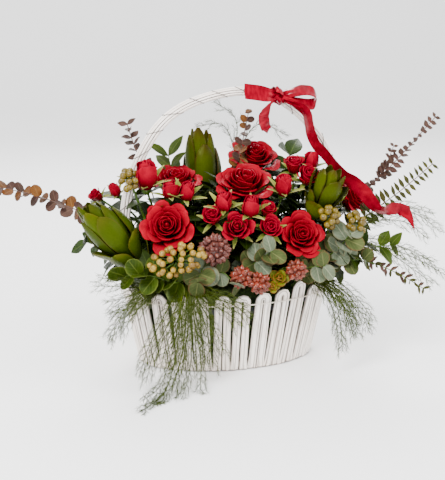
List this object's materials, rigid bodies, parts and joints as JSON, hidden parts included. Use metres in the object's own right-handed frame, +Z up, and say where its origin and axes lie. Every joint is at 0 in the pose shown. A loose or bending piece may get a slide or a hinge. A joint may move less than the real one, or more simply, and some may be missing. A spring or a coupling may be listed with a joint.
{
  "type": "flower basket arrangement",
  "caption": "Oval basket of bent white strips with an arched cane handle and red satin bow, filled with red roses, green bracts, berries, eucalyptus and trailing asparagus fern.",
  "frame": {"origin": "centre of the base board's underside, on the surface it stands on", "axes": "+X along the basket's long side, -Y towards the front, +Z up"},
  "size_m": [0.5785, 0.3076, 0.3729],
  "materials": {
    "white_strip": "white-stained split strips, matt",
    "twine": "pale twine",
    "base_board": "bare board, matt",
    "liner": "dark film, slightly shiny",
    "foam": "soaked green foam with moss",
    "red_satin": "red satin ribbon",
    "red_petal": "velvety red petals",
    "green_stem": "green stem",
    "green_bract": "yellow-green leathery bracts",
    "sedum_bud": "dusty red fleshy buds",
    "cream_berry": "cream to golden berries",
    "silver_leaf": "grey-green waxy leaves",
    "green_leaf": "fresh green glossy leaves",
    "dark_leaf": "dark green glossy leaves",
    "brown_leaf": "purple-brown leaves",
    "fern_green": "fine green needles"
  },
  "bodies": {
    "root": {"basket_stakes": "white_strip", "rim_twine": "twine", "basket_base": "base_board", "basket_liner": "liner", "handle_canes": "white_strip", "ribbon": "red_satin", "rose_1": "red_petal", "rose_2": "red_petal", "rose_3": "red_petal", "rose_4": "red_petal", "rose_5": "red_petal", "rose_6": "red_petal", "rose_7": "red_petal", "rose_1_stem": "green_stem", "rose_2_stem": "green_stem", "rose_3_stem": "green_stem", "rose_4_stem": "green_stem", "rose_5_stem": "green_stem", "rose_6_stem": "green_stem", "rose_7_stem": "green_stem", "leucadendron_centre": "green_bract", "leucadendron_left": "green_bract", "leucadendron_right": "green_bract", "leucadendron_back": "green_bract", "spray_rose_left": "red_petal", "spray_rose_far_left": "red_petal", "spray_rose_middle": "red_petal", "spray_rose_right": "red_petal", "spray_rose_top": "red_petal", "sedum_left": "sedum_bud", "sedum_front": "sedum_bud", "sedum_right": "sedum_bud", "berries_left": "cream_berry", "berries_left_top": "cream_berry", "berries_right": "cream_berry", "silver_leaves_front": "silver_leaf", "silver_leaves_left": "silver_leaf", "silver_leaves_right": "silver_leaf", "silver_leaves_low": "silver_leaf", "silver_leaves_back": "silver_leaf", "silver_leaves_back_left": "silver_leaf", "round_leaves_left": "green_leaf", "dark_leaves_left": "dark_leaf", "dark_leaves_right": "dark_leaf", "dark_leaves_top": "dark_leaf", "dark_leaves_back": "dark_leaf", "dark_leaves_back_right": "dark_leaf", "olive_sprig": "green_leaf", "brown_sprig_left": "brown_leaf", "brown_sprig_upper_left": "brown_leaf", "brown_sprig_centre": "brown_leaf", "brown_sprig_right_upper": "brown_leaf", "brown_sprig_right_lower": "brown_leaf", "thin_sprig_right": "silver_leaf", "fern_left_front": "fern_green", "fern_left": "fern_green", "fern_right_front": "fern_green", "fern_right": "fern_green", "fern_top": "fern_green", "floral_foam": "foam"}
  },
  "joints": []
}
